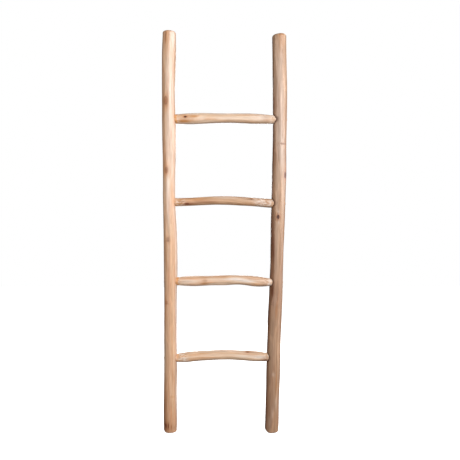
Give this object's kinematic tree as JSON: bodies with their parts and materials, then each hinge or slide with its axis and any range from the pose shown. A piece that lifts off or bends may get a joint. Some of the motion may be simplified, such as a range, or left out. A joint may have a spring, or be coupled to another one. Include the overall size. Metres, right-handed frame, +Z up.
{
  "type": "branch ladder rack",
  "caption": "Rustic leaning ladder rack with tall peeled-branch rails and slightly bowed branch rungs, for hanging quilts, blankets or towels.",
  "frame": {"origin": "on the floor, at the middle of the ladder's width and thickness", "axes": "+X from the left rail to the right rail, +Y to the wall the ladder leans on, +Z up along the rails"},
  "size_m": [0.4679, 0.0552, 1.4987],
  "materials": {
    "rail_wood": "peeled branch, lightly sanded, unvarnished",
    "rung_wood": "peeled and whittled branch, lightly sanded, unvarnished",
    "plug_wood": "end-grain plug, sanded flush",
    "screw_steel": "zinc plated"
  },
  "bodies": {
    "root": {"left_rail": "rail_wood", "right_rail": "rail_wood", "rung_1": "rung_wood", "rung_2": "rung_wood", "rung_3": "rung_wood", "rung_4": "rung_wood", "left_screw_1": "screw_steel", "left_screw_2": "screw_steel", "left_screw_3": "screw_steel", "left_screw_4": "screw_steel", "right_screw_1": "screw_steel", "right_screw_2": "screw_steel", "right_screw_3": "screw_steel", "right_screw_4": "screw_steel", "left_plug_1": "plug_wood", "left_plug_2": "plug_wood", "left_plug_3": "plug_wood", "left_plug_4": "plug_wood", "right_plug_1": "plug_wood", "right_plug_2": "plug_wood", "right_plug_3": "plug_wood", "right_plug_4": "plug_wood"}
  },
  "joints": []
}
